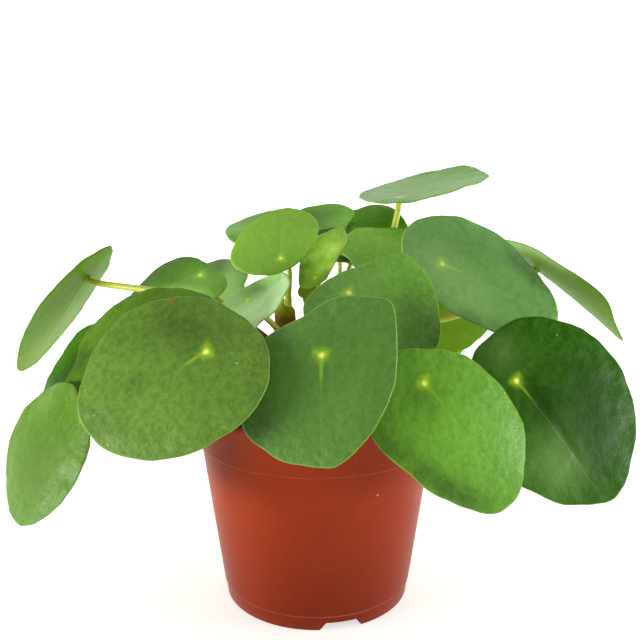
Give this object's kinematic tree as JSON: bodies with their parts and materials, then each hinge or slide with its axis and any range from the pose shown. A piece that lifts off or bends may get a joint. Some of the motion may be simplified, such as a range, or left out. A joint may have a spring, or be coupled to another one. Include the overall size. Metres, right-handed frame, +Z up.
{
  "type": "potted houseplant",
  "caption": "Chinese money plant with round, shield-like leaves on long stalks round a short woody trunk, in a tapered terracotta-coloured plastic nursery pot filled with soil.",
  "frame": {"origin": "on the pot's axis, at the level of the surface the pot stands on", "axes": "+Z up; -Y is the front, where most of the leaf faces look; +X is the right side seen from the front, along the plant's widest spread"},
  "size_m": [0.3044, 0.2215, 0.2091],
  "materials": {
    "terracotta_plastic": "satin moulded polypropylene, terracotta coloured",
    "potting_soil": null,
    "trunk_bark": "dull brown bark with old leaf scars, greener near the top",
    "leaf_green": null,
    "young_leaf_green": null
  },
  "bodies": {
    "root": {"pot": "terracotta_plastic", "soil": "potting_soil", "trunk": "trunk_bark", "leaf_left_under": "leaf_green", "leaf_left_dark": "leaf_green", "leaf_left_low": "leaf_green", "leaf_left_grey": "leaf_green", "leaf_front_left": "leaf_green", "leaf_front_centre": "leaf_green", "leaf_front_right": "leaf_green", "leaf_right_dark": "leaf_green", "leaf_right_big": "leaf_green", "leaf_far_right": "leaf_green", "leaf_right_under": "leaf_green", "leaf_centre_back": "leaf_green", "leaf_mid_left": "leaf_green", "leaf_upper_left": "leaf_green", "leaf_upper_left_back": "leaf_green", "leaf_umbrella": "leaf_green", "leaf_back_far_left": "leaf_green", "leaf_back_centre": "leaf_green", "leaf_back_right": "leaf_green", "leaf_back_mid_right": "leaf_green", "leaf_back_pale": "leaf_green", "leaf_rear_left": "leaf_green", "leaf_rear_right": "leaf_green", "leaf_rear_centre": "leaf_green", "leaf_rear_low": "leaf_green", "leaf_young_top": "young_leaf_green", "leaf_young_fold": "young_leaf_green", "leaf_young_tiny": "young_leaf_green"}
  },
  "joints": []
}
